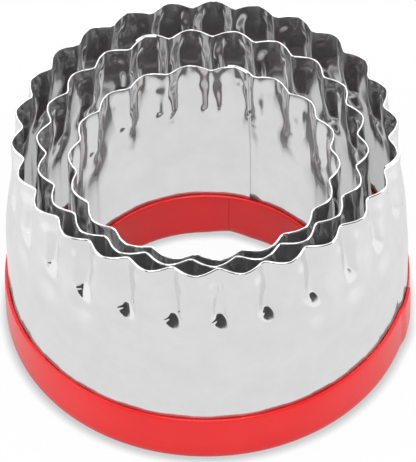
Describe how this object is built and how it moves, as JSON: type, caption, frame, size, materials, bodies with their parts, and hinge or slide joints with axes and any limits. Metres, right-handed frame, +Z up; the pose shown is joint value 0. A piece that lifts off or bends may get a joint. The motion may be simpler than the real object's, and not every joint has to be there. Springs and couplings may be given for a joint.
{
  "type": "nested fluted biscuit cutter set",
  "caption": "Nest of fluted round biscuit cutters, lapped steel bands with a plastic grip along the plain edge; each lifts off the next smaller one.",
  "frame": {"origin": "centre of the large cutter's foot ring, on the table", "axes": "+Z up, through the fluted edge; the cutters lean together towards -Y inside the nest"},
  "size_m": [0.0856, 0.0856, 0.0508],
  "materials": {
    "steel": "bright rolled stainless strip",
    "red_grip": "smooth soft PVC, semi-gloss"
  },
  "bodies": {
    "small_cutter": {"small_band": "steel", "small_grip": "red_grip"},
    "medium_cutter": {"medium_band": "steel", "medium_grip": "red_grip"},
    "large_cutter": {"large_band": "steel", "large_grip": "red_grip"}
  },
  "joints": [
    {"name": "medium_lift", "type": "slide", "parent": "small_cutter", "child": "medium_cutter", "axis": [0, 0, 1], "range_m": [0, 0.056]},
    {"name": "large_lift", "type": "slide", "parent": "medium_cutter", "child": "large_cutter", "axis": [0, 0, 1], "range_m": [0, 0.056]}
  ]
}
